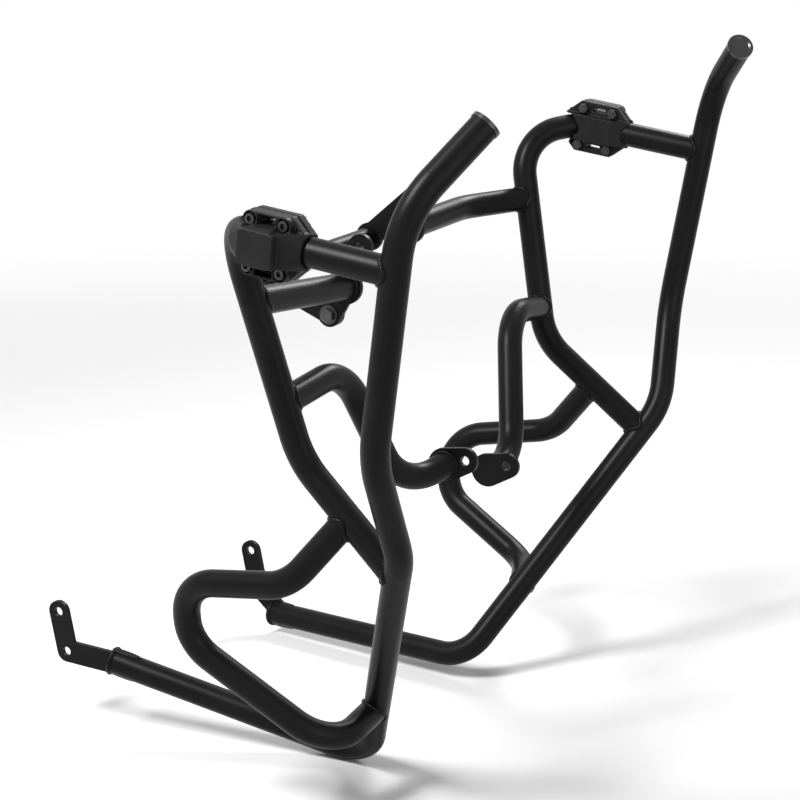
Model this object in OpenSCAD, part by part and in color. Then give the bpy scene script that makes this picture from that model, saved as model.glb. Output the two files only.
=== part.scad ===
// Crash bars for an adventure motorcycle: a pair of bent tube frames joined by a bridge.
// X runs across the motorcycle with +X on the rider's left, Y to the rear, Z up.
// Points of a tube are given for the left side as [x, y, z]; the right side mirrors x.
// The part's own origin is moved to the middle of the right middle plate's bolt hole.

/* [Tube] */
// Outer diameter of every frame tube
tube_d = 28; // [20:1:32]
// Wall of every frame tube
tube_wall = 2; // [1.5:0.1:3]
// Clearance between a coped tube end and the tube that it meets
weld_gap = 0.1; // [0.05:0.05:0.3]

/* [Main tubes] */
// Capped top end of the right main tube
main_top_right = [337, -232, 729];
// Capped top end of the left main tube
main_top_left = [341, -231, 735];
// Outermost point of the right main tube
main_shoulder_right = [403, -186, 658];
// Outermost point of the left main tube
main_shoulder_left = [404, -180, 678];
// Bend halfway down the side
main_side = [378, -144, 425];
// Bend of the right main tube above its lower run
main_waist_right = [318, -140, 314];
// Bend of the left main tube above its lower run
main_waist_left = [321, -157, 316];
// Bottom corner of the right main tube
main_corner_right = [126, -5, 14];
// Bottom corner of the left main tube
main_corner_left = [131, 5, 36];
// Rear end of the right lower tube
main_rear_right = [172, 290, 87];
// Rear end of the left lower tube
main_rear_left = [172, 286, 33];
// Bend radius at the shoulder
shoulder_bend = 88; // [60:1:120]
// Bend radius at the side
side_bend = 129; // [60:1:150]
// Bend radius at the waist
waist_bend = 91; // [60:1:120]
// Bend radius at the bottom corner
corner_bend = 48; // [42:1:70]

/* [Hoop tubes] */
// Height where the right crossbar meets its main tube
crossbar_z_right = 605; // [590:1:620]
// Height where the left crossbar meets its main tube
crossbar_z_left = 608; // [590:1:620]
// Rear end of the right crossbar, where it turns inward
crossbar_rear_right = [386, -28, 621];
// Rear end of the left crossbar, where it turns inward
crossbar_rear_left = [386, -20, 631];
// Top of the right leg
leg_top_right = [329, 35, 627];
// Top of the left leg
leg_top_left = [332, 33, 620];
// Knee below both legs
knee = [292, -20, 388];
// Height where both lower diagonals meet the main tubes
hoop_foot_z = 288; // [275:1:295]
// Bend radius at the rear of the crossbar
crossbar_bend = 42; // [42:1:60]
// Bend radius at the top of the leg
leg_bend = 54; // [42:1:70]
// Bend radius at the knee
knee_bend = 75; // [50:1:90]

/* [Lower loop tubes] */
// Height where both loops leave the hoop tubes
loop_start_z = 338; // [330:1:350]
// First bend below the start
loop_front = [321, -20, 269];
// Upper point of the rear turn
loop_rear_top = [309, 107, 249];
// Lower point of the rear turn
loop_rear_bottom = [295, 110, 180];
// Bottom bend of the right loop
loop_bottom_right = [272, -40, 84];
// Bottom bend of the left loop
loop_bottom_left = [268, -8, 116];
// Height where the right loop meets its main tube
loop_foot_z_right = 96; // [90:1:130]
// Height where the left loop meets its main tube
loop_foot_z_left = 118; // [90:1:130]
// Bend radius below the start
loop_front_bend = 53; // [42:1:70]
// Bend radius at the rear turn
loop_rear_bend = 47; // [42:1:50]
// Bend radius at the bottom
loop_bottom_bend = 50; // [42:1:70]

/* [Middle mounts] */
// Height where the right middle tube leaves its leg
middle_start_z_right = 446; // [430:1:460]
// Height where the left middle tube leaves its leg
middle_start_z_left = 424; // [410:1:440]
// Outer bend of the right middle tube
middle_outer_right = [187, -8, 455];
// Outer bend of the left middle tube
middle_outer_left = [194, -18, 438];
// Inner bend of the right middle tube
middle_inner_right = [114, -36, 313];
// Inner bend of the left middle tube
middle_inner_left = [118, -58, 285];
// Inner end of the right middle tube
middle_end_right = [60, -60, 328];
// Inner end of the left middle tube
middle_end_left = [60, -56, 292];
// Bend radius of both middle tubes
middle_bend = 60; // [42:1:80]
// Thickness of the teardrop plates
middle_plate_t = 5; // [3:0.5:8]
// Radius of the large end of a teardrop plate
middle_plate_r = 18.5; // [17:0.5:22]
// Radius of the small end of a teardrop plate
middle_lobe_r = 14; // [10:0.5:16]
// Distance from the tube to the bolt hole of a teardrop plate
middle_hole_reach = 25; // [20:1:35]
// Angle of the bolt hole above level, seen from the side
middle_hole_angle = 18; // [0:1:45]
// Bolt hole of a teardrop plate
middle_hole_d = 10.5; // [6:0.5:13]

/* [Upper mounts and bridge] */
// Height where the right upper tube leaves its leg
upper_start_z_right = 545; // [530:1:560]
// Height where the left upper tube leaves its leg
upper_start_z_left = 549; // [530:1:560]
// Outer face of the right flange, where the right upper tube ends
flange_right = [146, 11, 529];
// Outer face of the left flange, where the left upper tube ends
flange_left = [102, 62, 546];
// Bend of the left upper tube
upper_bend_left = [236, 62, 547];
// Bend radius of the left upper tube
upper_bend = 70; // [50:1:90]
// Thickness of the flanges
flange_t = 5; // [3:0.5:8]
// Radius of a flange round its tube
flange_r = 19; // [17:0.5:22]
// Radius of the two lugs of a flange
lug_r = 13; // [10:0.5:15]
// Upper lug from the tube, in y and z
upper_lug = [-18, 42];
// Lower lug from the tube, in y and z
lower_lug = [18, -31];
// Bolt holes in lugs and strips
lug_hole_d = 8.5; // [6:0.1:10]
// Centre line of the bridge tube, in y and z
bridge_yz = [109, 532];
// Diameter of the bridge tube
bridge_d = 22; // [18:1:26]
// Wall of the bridge tube
bridge_wall = 2.5; // [1.5:0.1:4]
// Thickness of the bridge strips
strip_t = 5; // [3:0.5:8]
// Half the width of the bridge strips
strip_r = 13; // [12:0.5:16]
// Radius of a bridge strip round the bridge tube
strip_hub_r = 16; // [14:0.5:20]

/* [Lower brackets] */
// Thickness of the bracket plates
bracket_t = 5; // [3:0.5:8]
// Half the width of the bracket arms
bracket_r = 12.5; // [10:0.5:15]
// Top hole of the right bracket, in y and z
bracket_top_right = [359, 133];
// Bottom hole of the right bracket, in y and z
bracket_low_right = [350, 88];
// Top hole of the left bracket, in y and z
bracket_top_left = [317, 109];
// Bottom hole of the left bracket, in y and z
bracket_low_left = [308, 64];
// Bolt holes of the brackets
bracket_hole_d = 10.5; // [6:0.5:13]
// How far the plate runs into the slot of the tube
bracket_insert = 24; // [10:1:40]
// Clearance between the plate and its slot
slot_gap = 0.1; // [0.05:0.05:0.5]

/* [End caps] */
// Thickness of the cap outside the tube
cap_t = 4; // [2:0.5:8]
// Overhang of the cap beyond the tube
cap_lip = 0.8; // [0:0.1:2]
// Length of the cap's plug inside the tube
cap_plug = 16; // [8:1:30]
// Depth of the dish in the cap
cap_dish = 1.5; // [0:0.1:3]

/* [Sliders] */
// Middle of the right slider along the bike
slider_y_right = -50; // [-60:1:-40]
// Middle of the left slider along the bike
slider_y_left = -43; // [-60:1:-40]
// Length of a slider at the parting plane
slider_l = 78; // [70:1:100]
// Height of a slider at the parting plane
slider_h = 60; // [50:1:70]
// Length of the level top and bottom edges
slider_flat_l = 44; // [40:1:56]
// Height of the upright end edges
slider_flat_h = 28; // [20:1:40]
// Thickness of the slider flanges
slider_flange_t = 9; // [5:0.5:12]
// Outer half: distance from the tube axis to the bare face
slider_out = 34; // [26:1:45]
// Inner half: distance from the tube axis to the panel
slider_in = 23; // [18:1:35]
// Length of the outer face
slider_face_l = 30; // [20:1:40]
// Height of the outer face
slider_face_h = 34; // [24:1:44]
// Length of the inner panel
slider_panel_l = 42; // [30:1:56]
// Height of the inner panel
slider_panel_h = 30; // [24:1:40]
// Gap between the two halves
slider_gap = 2; // [1:0.5:4]
// Clearance between a slider and its tube
slider_fit = 0.2; // [0.1:0.1:0.5]
// Slider bolts from the slider's middle, along the tube
slider_bolt_u = 18; // [14:1:24]
// Slider bolts from the tube axis, up and down
slider_bolt_v = 22; // [20:1:26]
// Length of the slots in the flanges
slider_slot_l = 18; // [8:1:24]
// Width of the slots in the flanges
slider_slot_w = 5; // [2:0.5:8]

/* [Fasteners] */
// Slider bolt thread
slider_bolt_d = 6; // [4:1:8]
// Slider bolt head
slider_head_d = 10; // [8:0.5:14]
// Height of a slider bolt head
slider_head_h = 6; // [3:0.5:8]
// Hexagon of the slider bolts
slider_key = 5; // [3:0.5:6]
// Nut across flats for the slider bolts
slider_nut_af = 10; // [8:0.5:13]
// Height of a slider nut
slider_nut_h = 5; // [3:0.5:8]
// Bridge bolt thread
bridge_bolt_d = 8; // [6:1:10]
// Bridge bolt head across flats
bridge_head_af = 13; // [10:1:17]
// Height of a bridge bolt head
bridge_head_h = 5.3; // [4:0.1:8]
// Height of a bridge nut
bridge_nut_h = 8; // [5:0.5:10]
// Washer diameter on the bridge bolts
bridge_washer_d = 20; // [14:1:24]
// Thickness of every washer
washer_t = 1.6; // [1:0.1:3]
// Clearance of a bolt in its hole
bolt_gap = 0.25; // [0.1:0.05:0.5]

/* [Hidden] */
$fn = 48;

RIGHT = -1;
LEFT = 1;
powder_black = [0.09, 0.09, 0.09];
plastic_black = [0.13, 0.13, 0.13];
steel = [0.55, 0.55, 0.57];

main_bends = [shoulder_bend, side_bend, waist_bend, corner_bend];
hoop_bends = [crossbar_bend, leg_bend, knee_bend];
loop_bends = [loop_front_bend, loop_rear_bend, loop_rear_bend, loop_bottom_bend];
// A tube that ends on another stops this much short of its centre line
cope_stop = 1;
// Extra length of a tube that is cut flush with its plate
end_run = 6;
// Extra length of a cutter beyond what it cuts
over = 1;
// The wall of a bend is this much thinner on each face, so its ends seat inside the straights
seam = 0.02;
// How far a straight runs over the end of its bend
seam_run = 0.4;
// Extra radius of a cutter along a bend
bend_relief = 0.15;
// Straight piece of a tube used to cope the tube that meets it
cope_reach = 30;
slider_washer_d = slider_head_d + 2;
slider_pocket_d = slider_washer_d + 1;
slider_floor = slider_gap / 2 + slider_flange_t;

function pick(s, right, left) = s == RIGHT ? right : left;
function side_point(s, p) = [s * p.x, p.y, p.z];
function unit(v) = v / norm(v);
// Point of the line from a to b at height z
function at_z(a, b, z) = a + (b - a) * (z - a.z) / (b.z - a.z);
// Point of the line from a to b at a place along y
function at_y(a, b, y) = a + (b - a) * (y - a.y) / (b.y - a.y);
// Point b drawn back towards a, or past b where by is negative
function short_of(a, b, by) = b + unit(a - b) * by;
function turn(a, b, c) = acos(unit(b - a) * unit(c - b));
function bend_cut(a, b, c, r) = r * tan(turn(a, b, c) / 2);

function main_shoulder(s) = pick(s, main_shoulder_right, main_shoulder_left);
function main_top(s) = pick(s, main_top_right, main_top_left);
function main_waist(s) = pick(s, main_waist_right, main_waist_left);
function main_corner(s) = pick(s, main_corner_right, main_corner_left);
function main_rear(s) = pick(s, main_rear_right, main_rear_left);
function main_path(s) = [
    for (p = [
        main_top(s), main_shoulder(s), main_side, main_waist(s), main_corner(s), main_rear(s)
    ]) side_point(s, p)
];
function crossbar_rear(s) = pick(s, crossbar_rear_right, crossbar_rear_left);
function leg_top(s) = pick(s, leg_top_right, leg_top_left);
function crossbar_start(s) =
    at_z(main_shoulder(s), main_side, pick(s, crossbar_z_right, crossbar_z_left));
function hoop_foot(s) = at_z(main_waist(s), main_corner(s), hoop_foot_z);
function hoop_path(s) = [
    for (p = [
        short_of(crossbar_rear(s), crossbar_start(s), cope_stop), crossbar_rear(s), leg_top(s), knee,
        short_of(knee, hoop_foot(s), cope_stop)
    ]) side_point(s, p)
];
function loop_start(s) = at_z(knee, hoop_foot(s), loop_start_z);
function loop_bottom(s) = pick(s, loop_bottom_right, loop_bottom_left);
function loop_foot(s) =
    at_z(main_waist(s), main_corner(s), pick(s, loop_foot_z_right, loop_foot_z_left));
function loop_path(s) = [
    for (p = [
        short_of(loop_front, loop_start(s), cope_stop), loop_front, loop_rear_top, loop_rear_bottom,
        loop_bottom(s), short_of(loop_bottom(s), loop_foot(s), cope_stop)
    ]) side_point(s, p)
];
function middle_outer(s) = pick(s, middle_outer_right, middle_outer_left);
function middle_inner(s) = pick(s, middle_inner_right, middle_inner_left);
function middle_end(s) = pick(s, middle_end_right, middle_end_left);
function middle_start(s) = at_z(leg_top(s), knee, pick(s, middle_start_z_right, middle_start_z_left));
function middle_path(s) = [
    for (p = [
        short_of(middle_outer(s), middle_start(s), cope_stop), middle_outer(s), middle_inner(s),
        short_of(middle_inner(s), middle_end(s), -end_run)
    ]) side_point(s, p)
];
function middle_hole(s) =
    [middle_end(s).y, middle_end(s).z]
    + middle_hole_reach * [-cos(middle_hole_angle), sin(middle_hole_angle)];
origin_at = [middle_plate_t / 2 - middle_end_right.x, middle_hole(RIGHT).x, middle_hole(RIGHT).y];
function upper_start(s) = at_z(leg_top(s), knee, pick(s, upper_start_z_right, upper_start_z_left));
function flange_at(s) = pick(s, flange_right, flange_left);
function upper_path(s) = s == RIGHT
    ? [
        for (p = [
            short_of(flange_right, upper_start(s), cope_stop),
            short_of(upper_start(s), flange_right, -end_run)
        ]) side_point(s, p)
    ]
    : [
        for (p = [
            short_of(upper_bend_left, upper_start(s), cope_stop), upper_bend_left,
            short_of(upper_bend_left, flange_left, -end_run)
        ]) side_point(s, p)
    ];

// Puts the z axis along w and the x axis along u, at point p
module along(p, w, u) {
    v = cross(w, u);
    multmatrix([
        [u.x, v.x, w.x, p.x],
        [u.y, v.y, w.y, p.y],
        [u.z, v.z, w.z, p.z]
    ])
        children();
}

function any_side(w) = unit(cross(w, abs(w.z) < 0.9 ? [0, 0, 1] : [1, 0, 0]));

module in_frame() {
    translate(-origin_at)
        children();
}

module ring(d, wall) {
    difference() {
        circle(d = d);
        if (wall > 0)
            circle(d = d - 2 * wall);
    }
}

module straight(a, b, d, wall) {
    w = unit(b - a);
    along(a, w, any_side(w))
        linear_extrude(norm(b - a))
            ring(d, wall);
}

module bend(a, b, c, r, d, wall) {
    cut = bend_cut(a, b, c, r);
    t_in = unit(b - a);
    t_out = unit(c - b);
    n = unit(cross(t_in, t_out));
    start = b - t_in * cut;
    centre = start + cross(n, t_in) * r;
    along(centre, n, unit(start - centre))
        rotate_extrude(angle = turn(a, b, c), $fn = 60)
            translate([r, 0])
                ring(d - 2 * seam, wall > 0 ? wall - 2 * seam : 0);
}

// Bent tube through the points; wall 0 makes it solid
module bent_tube(p, bends, d, wall) {
    last = len(p) - 1;
    for (i = [0 : last - 1]) {
        w = unit(p[i + 1] - p[i]);
        cut_in = i == 0 ? 0 : bend_cut(p[i - 1], p[i], p[i + 1], bends[i - 1]);
        cut_out = i == last - 1 ? 0 : bend_cut(p[i], p[i + 1], p[i + 2], bends[i]);
        run_in = i == 0 ? 0 : seam_run;
        run_out = i == last - 1 ? 0 : seam_run;
        straight(p[i] + w * (cut_in - run_in), p[i + 1] - w * (cut_out - run_out), d, wall);
        if (i < last - 1)
            bend(p[i], p[i + 1], p[i + 2], bends[i], d, wall);
    }
}

// Solid stretch of a tube round a joint, a little fat for the weld
module cope(a, b, at) {
    w = unit(b - a);
    straight(at - w * cope_reach, at + w * cope_reach, tube_d + 2 * weld_gap, 0);
}

// Block that cuts a tube flush with the outer face of its plate
module flush_cut(s, at) {
    size = 2 * tube_d;
    translate([s * (at.x + weld_gap) - (s == LEFT ? size : 0), at.y - tube_d, at.z - tube_d])
        cube(size);
}

module main_tube(s) {
    p = main_path(s);
    color(powder_black) in_frame()
        difference() {
            bent_tube(p, main_bends, tube_d, tube_wall);
            bracket_slot(s);
        }
}

module bracket_slot(s) {
    p = main_path(s);
    w = unit(p[4] - p[5]);
    slot_w = bracket_t + 2 * slot_gap;
    translate([s * main_rear(s).x - slot_w / 2, p[5].y - bracket_insert - slot_gap, p[5].z - tube_d])
        cube([slot_w, bracket_insert + tube_d, 2 * tube_d]);
}

module hoop_tube(s) {
    p = main_path(s);
    color(powder_black) in_frame()
        difference() {
            bent_tube(hoop_path(s), hoop_bends, tube_d, tube_wall);
            cope(p[1], p[2], side_point(s, crossbar_start(s)));
            cope(p[3], p[4], side_point(s, hoop_foot(s)));
            bend(p[2], p[3], p[4], waist_bend, tube_d + 2 * (weld_gap + bend_relief), 0);
        }
}

module lower_loop_tube(s) {
    p = main_path(s);
    h = hoop_path(s);
    color(powder_black) in_frame()
        difference() {
            bent_tube(loop_path(s), loop_bends, tube_d, tube_wall);
            cope(h[3], h[4], side_point(s, loop_start(s)));
            cope(p[3], p[4], side_point(s, loop_foot(s)));
        }
}

module middle_mount_tube(s) {
    h = hoop_path(s);
    color(powder_black) in_frame()
        difference() {
            bent_tube(middle_path(s), [middle_bend, middle_bend], tube_d, tube_wall);
            cope(h[2], h[3], side_point(s, middle_start(s)));
            flush_cut(s, middle_end(s));
        }
}

module upper_mount_tube(s) {
    h = hoop_path(s);
    color(powder_black) in_frame()
        difference() {
            bent_tube(upper_path(s), [upper_bend], tube_d, tube_wall);
            cope(h[2], h[3], side_point(s, upper_start(s)));
            flush_cut(s, flange_at(s));
        }
}

// Flat strip through points of the yz plane, with round ends and corners
module strip_2d(pts, r) {
    for (p = pts)
        translate(p)
            circle(r);
    for (i = [1 : len(pts) - 1]) {
        d = pts[i] - pts[i - 1];
        translate(pts[i - 1])
            rotate(atan2(d.y, d.x))
                translate([0, seam - r])
                    square([norm(d), 2 * (r - seam)]);
    }
}

// Two circles joined by their outer tangents
module teardrop_2d(a, ra, b, rb) {
    d = b - a;
    t = acos((ra - rb) / norm(d));
    translate(a) {
        circle(ra);
        rotate(atan2(d.y, d.x)) {
            translate([norm(d), 0])
                circle(rb);
            polygon([
                ra * [cos(t), sin(t)], ra * [cos(t), -sin(t)],
                [norm(d), 0] + rb * [cos(t), -sin(t)], [norm(d), 0] + rb * [cos(t), sin(t)]
            ]);
        }
    }
}

// Plate with its face normal to x, from x = at towards the side s
module side_plate(at, t) {
    translate([at, 0, 0])
        rotate([90, 0, 90])
            linear_extrude(t)
                children();
}

module lower_bracket(s) {
    top = pick(s, bracket_top_right, bracket_top_left);
    low = pick(s, bracket_low_right, bracket_low_left);
    p = main_path(s);
    w = unit(p[5] - p[4]);
    tail_at = p[5] - w * (bracket_insert - bracket_r);
    tail = [tail_at.y, tail_at.z];
    color(powder_black) in_frame()
        side_plate(s * main_rear(s).x - bracket_t / 2, bracket_t)
            difference() {
                strip_2d([top, low, tail], bracket_r);
                for (h = [top, low])
                    translate(h)
                        circle(d = bracket_hole_d);
            }
}

module middle_plate(s) {
    e = middle_end(s);
    c = [e.y, e.z];
    h = middle_hole(s);
    color(powder_black) in_frame()
        side_plate(s == RIGHT ? -e.x : e.x - middle_plate_t, middle_plate_t)
            difference() {
                teardrop_2d(c, middle_plate_r, h, middle_lobe_r);
                translate(h)
                    circle(d = middle_hole_d);
            }
}

function lug(s, off) = [flange_at(s).y + off.x, flange_at(s).z + off.y];

module upper_flange(s) {
    f = flange_at(s);
    c = [f.y, f.z];
    color(powder_black) in_frame()
        side_plate(s == RIGHT ? -f.x : f.x - flange_t, flange_t)
            difference() {
                union() {
                    translate(c)
                        circle(flange_r);
                    for (off = [upper_lug, lower_lug])
                        strip_2d([c, lug(s, off)], lug_r);
                }
                for (off = [upper_lug, lower_lug])
                    translate(lug(s, off))
                        circle(d = lug_hole_d);
            }
}

// Where a bridge bolt sits, in y and z
function bridge_bolt(s) = pick(s, lug(RIGHT, lower_lug), lug(LEFT, upper_lug));
// Inner face of a flange, which the strip lies against
function strip_face(s) = s * (flange_at(s).x - flange_t);

module bridge_strip(s) {
    face = strip_face(s);
    color(powder_black) in_frame()
        side_plate(s == RIGHT ? face : face - strip_t, strip_t)
            difference() {
                union() {
                    strip_2d([bridge_yz, bridge_bolt(s)], strip_r);
                    translate(bridge_yz)
                        circle(strip_hub_r);
                }
                translate(bridge_yz)
                    circle(d = bridge_d + 2 * weld_gap);
                translate(bridge_bolt(s))
                    circle(d = lug_hole_d);
            }
}

module bridge_tube() {
    a = strip_face(RIGHT);
    b = strip_face(LEFT);
    color(powder_black) in_frame()
        translate([a, bridge_yz.x, bridge_yz.y])
            rotate([0, 90, 0])
                linear_extrude(b - a)
                    ring(bridge_d, bridge_wall);
}

// Places a bolt stack with its z axis pointing outward from the flange face
module at_bridge_bolt(s) {
    f = bridge_bolt(s);
    translate([s * flange_at(s).x, f.x, f.y])
        rotate([0, s * 90, 0])
            children();
}

bridge_grip = flange_t + strip_t;

module bridge_bolts() {
    color(steel) in_frame()
        for (s = [RIGHT, LEFT])
            at_bridge_bolt(s) {
                translate([0, 0, washer_t])
                    cylinder(d = bridge_head_af / cos(30), h = bridge_head_h, $fn = 6);
                translate([0, 0, -bridge_grip - washer_t - bridge_nut_h - 2])
                    cylinder(d = bridge_bolt_d, h = bridge_grip + 2 * washer_t + bridge_nut_h + 2.5);
            }
}

module bridge_nuts() {
    color(steel) in_frame()
        for (s = [RIGHT, LEFT])
            at_bridge_bolt(s)
                translate([0, 0, -bridge_grip - washer_t - bridge_nut_h])
                    difference() {
                        cylinder(d = bridge_head_af / cos(30), h = bridge_nut_h, $fn = 6);
                        translate([0, 0, -over])
                            cylinder(d = bridge_bolt_d + 0.1, h = bridge_nut_h + 2 * over);
                    }
}

module washer(d, hole) {
    difference() {
        cylinder(d = d, h = washer_t);
        translate([0, 0, -over])
            cylinder(d = hole, h = washer_t + 2 * over);
    }
}

module bridge_washers() {
    color(steel) in_frame()
        for (s = [RIGHT, LEFT])
            at_bridge_bolt(s) {
                washer(bridge_washer_d, bridge_bolt_d + 2 * bolt_gap);
                translate([0, 0, -bridge_grip - washer_t])
                    washer(bridge_washer_d, bridge_bolt_d + 2 * bolt_gap);
            }
}

module end_cap(s) {
    p = main_path(s);
    w = unit(p[0] - p[1]);
    plug_d = tube_d - 2 * tube_wall - 0.2;
    color(plastic_black) in_frame()
        along(p[0], w, any_side(w))
            difference() {
                union() {
                    cylinder(d = tube_d + 2 * cap_lip, h = cap_t);
                    translate([0, 0, -cap_plug])
                        cylinder(d = plug_d, h = cap_plug + over);
                }
                translate([0, 0, -cap_plug - over])
                    cylinder(d = plug_d - 5, h = cap_plug);
                translate([0, 0, cap_t - cap_dish])
                    cylinder(d1 = tube_d - 8, d2 = tube_d - 4, h = cap_dish + 0.1);
            }
}

// Slider frame: x along the crossbar to the rear, y outward, z up, origin on the tube axis
module in_slider(s) {
    a = crossbar_start(s);
    b = crossbar_rear(s);
    c = side_point(s, at_y(a, b, pick(s, slider_y_right, slider_y_left)));
    u = unit(side_point(s, b) - side_point(s, a));
    out = unit(cross([0, 0, 1], u)) * (s == RIGHT ? 1 : -1);
    up = cross(u, out) * (s == RIGHT ? 1 : -1);
    multmatrix([
        [u.x, out.x, up.x, c.x],
        [u.y, out.y, up.y, c.y],
        [u.z, out.z, up.z, c.z]
    ])
        children();
}

module slider_outline() {
    l = slider_l / 2;
    h = slider_h / 2;
    fl = slider_flat_l / 2;
    fh = slider_flat_h / 2;
    polygon([
        [-l, -fh], [-fl, -h], [fl, -h], [l, -fh], [l, fh], [fl, h], [-fl, h], [-l, fh]
    ]);
}

// Half of a slider, standing outward from the parting plane
module slider_half(depth, face_l, face_h) {
    rotate([-90, 0, 0]) {
        translate([0, 0, slider_gap / 2])
            linear_extrude(slider_flange_t)
                slider_outline();
        hull() {
            translate([-slider_l / 2, -slider_flat_h / 2, slider_gap / 2])
                cube([slider_l, slider_flat_h, slider_flange_t]);
            translate([-face_l / 2, -face_h / 2, depth - 1])
                cube([face_l, face_h, 1]);
        }
    }
}

module slider_bolt_places() {
    for (x = [-1, 1], z = [-1, 1])
        translate([x * slider_bolt_u, 0, z * slider_bolt_v])
            children();
}

module slider_cuts() {
    slider_bolt_places()
        rotate([90, 0, 0]) {
            cylinder(d = slider_bolt_d + 2 * bolt_gap, h = 4 * slider_out, center = true);
            translate([0, 0, -2 * slider_out - slider_floor])
                cylinder(d = slider_pocket_d, h = 2 * slider_out);
        }
    for (z = [-1, 1])
        translate([-slider_slot_l / 2, -slider_out, z * slider_bolt_v - slider_slot_w / 2])
            cube([slider_slot_l, 2 * slider_out, slider_slot_w]);
}

// Bore along the crossbar, with a relief where the tube starts to bend
module slider_bore(s) {
    h = hoop_path(s);
    cut = bend_cut(h[0], h[1], h[2], crossbar_bend);
    a = short_of(h[0], h[1], cut);
    b = short_of(h[2], h[1], cut);
    sag = crossbar_bend * (1 - cos(turn(h[0], h[1], h[2]) / 2));
    straight(h[0], short_of(h[0], h[1], cut - over), tube_d + 2 * slider_fit, 0);
    straight(short_of(b, a, -2), short_of(a, b, -2), tube_d + 2 * (slider_fit + sag), 0);
    straight(b, b + unit(h[2] - h[1]) * slider_l / 2, tube_d + 2 * (slider_fit + sag + over), 0);
}

module slider_outer_half(s) {
    color(plastic_black) in_frame()
        difference() {
            in_slider(s)
                difference() {
                    slider_half(slider_out, slider_face_l, slider_face_h);
                    slider_cuts();
                }
            slider_bore(s);
        }
}

module slider_inner_half(s) {
    color(plastic_black) in_frame()
        difference() {
            in_slider(s)
                mirror([0, 1, 0])
                    difference() {
                        slider_half(slider_in, slider_panel_l, slider_panel_h);
                        slider_cuts();
                    }
            slider_bore(s);
        }
}

module slider_bolts(s) {
    color(steel) in_frame()
        in_slider(s)
            slider_bolt_places()
                rotate([90, 0, 0]) {
                    difference() {
                        translate([0, 0, -slider_floor - washer_t - slider_head_h])
                            cylinder(d = slider_head_d, h = slider_head_h);
                        translate([0, 0, -slider_floor - washer_t - slider_head_h - over])
                            cylinder(d = slider_key / cos(30), h = slider_head_h / 2 + over, $fn = 6);
                    }
                    translate([0, 0, -slider_floor - washer_t - 0.1])
                        cylinder(d = slider_bolt_d, h = 2 * slider_floor + washer_t + slider_nut_h + 1);
                }
}

module slider_nuts(s) {
    color(steel) in_frame()
        in_slider(s)
            slider_bolt_places()
                rotate([90, 0, 0])
                    translate([0, 0, slider_floor])
                        difference() {
                            cylinder(d = slider_nut_af / cos(30), h = slider_nut_h, $fn = 6);
                            translate([0, 0, -over])
                                cylinder(d = slider_bolt_d + 0.1, h = slider_nut_h + 2 * over);
                        }
}

module slider_washers(s) {
    color(steel) in_frame()
        in_slider(s)
            slider_bolt_places()
                rotate([90, 0, 0])
                    translate([0, 0, -slider_floor - washer_t])
                        washer(slider_washer_d, slider_bolt_d + 2 * bolt_gap);
}

main_tube(RIGHT);  // right_main_tube
main_tube(LEFT);  // left_main_tube
hoop_tube(RIGHT);  // right_hoop_tube
hoop_tube(LEFT);  // left_hoop_tube
lower_loop_tube(RIGHT);  // right_lower_loop_tube
lower_loop_tube(LEFT);  // left_lower_loop_tube
middle_mount_tube(RIGHT);  // right_middle_mount_tube
middle_mount_tube(LEFT);  // left_middle_mount_tube
upper_mount_tube(RIGHT);  // right_upper_mount_tube
upper_mount_tube(LEFT);  // left_upper_mount_tube
lower_bracket(RIGHT);  // right_lower_bracket
lower_bracket(LEFT);  // left_lower_bracket
middle_plate(RIGHT);  // right_middle_plate
middle_plate(LEFT);  // left_middle_plate
upper_flange(RIGHT);  // right_upper_flange
upper_flange(LEFT);  // left_upper_flange
end_cap(RIGHT);  // right_end_cap
end_cap(LEFT);  // left_end_cap
slider_outer_half(RIGHT);  // right_slider_outer_half
slider_outer_half(LEFT);  // left_slider_outer_half
slider_inner_half(RIGHT);  // right_slider_inner_half
slider_inner_half(LEFT);  // left_slider_inner_half
slider_bolts(RIGHT);  // right_slider_bolts
slider_bolts(LEFT);  // left_slider_bolts
slider_nuts(RIGHT);  // right_slider_nuts
slider_nuts(LEFT);  // left_slider_nuts
slider_washers(RIGHT);  // right_slider_washers
slider_washers(LEFT);  // left_slider_washers
bridge_tube();
bridge_strip(RIGHT);  // right_bridge_strip
bridge_strip(LEFT);  // left_bridge_strip
bridge_bolts();
bridge_nuts();
bridge_washers();
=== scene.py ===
"""Looks for a pair of motorcycle crash bars: powder coat, weld beads, moulded sliders and a studio stage."""

import math

import bmesh
import bpy
from mathutils import Matrix, Vector


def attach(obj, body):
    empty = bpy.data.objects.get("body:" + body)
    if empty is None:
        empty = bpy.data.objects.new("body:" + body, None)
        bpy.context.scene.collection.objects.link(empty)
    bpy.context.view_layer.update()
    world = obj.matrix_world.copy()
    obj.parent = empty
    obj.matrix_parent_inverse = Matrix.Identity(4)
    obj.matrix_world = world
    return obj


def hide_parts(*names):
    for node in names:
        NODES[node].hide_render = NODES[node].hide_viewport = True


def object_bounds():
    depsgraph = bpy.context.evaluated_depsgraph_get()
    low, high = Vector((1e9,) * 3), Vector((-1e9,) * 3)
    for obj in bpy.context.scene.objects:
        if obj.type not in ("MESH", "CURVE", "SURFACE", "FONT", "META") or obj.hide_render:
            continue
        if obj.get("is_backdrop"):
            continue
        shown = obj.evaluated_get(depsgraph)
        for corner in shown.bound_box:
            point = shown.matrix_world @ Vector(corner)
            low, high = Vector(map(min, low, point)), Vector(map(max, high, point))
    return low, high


bl_info = {
    "name": "Crash bar looks",
    "version": (1, 0, 0),
    "blender": (4, 5, 0),
    "location": "View3D > Sidebar > Crash bars",
    "description": "Powder coat, weld beads and a studio stage for a pair of crash bars",
    "category": "Object",
}

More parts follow.
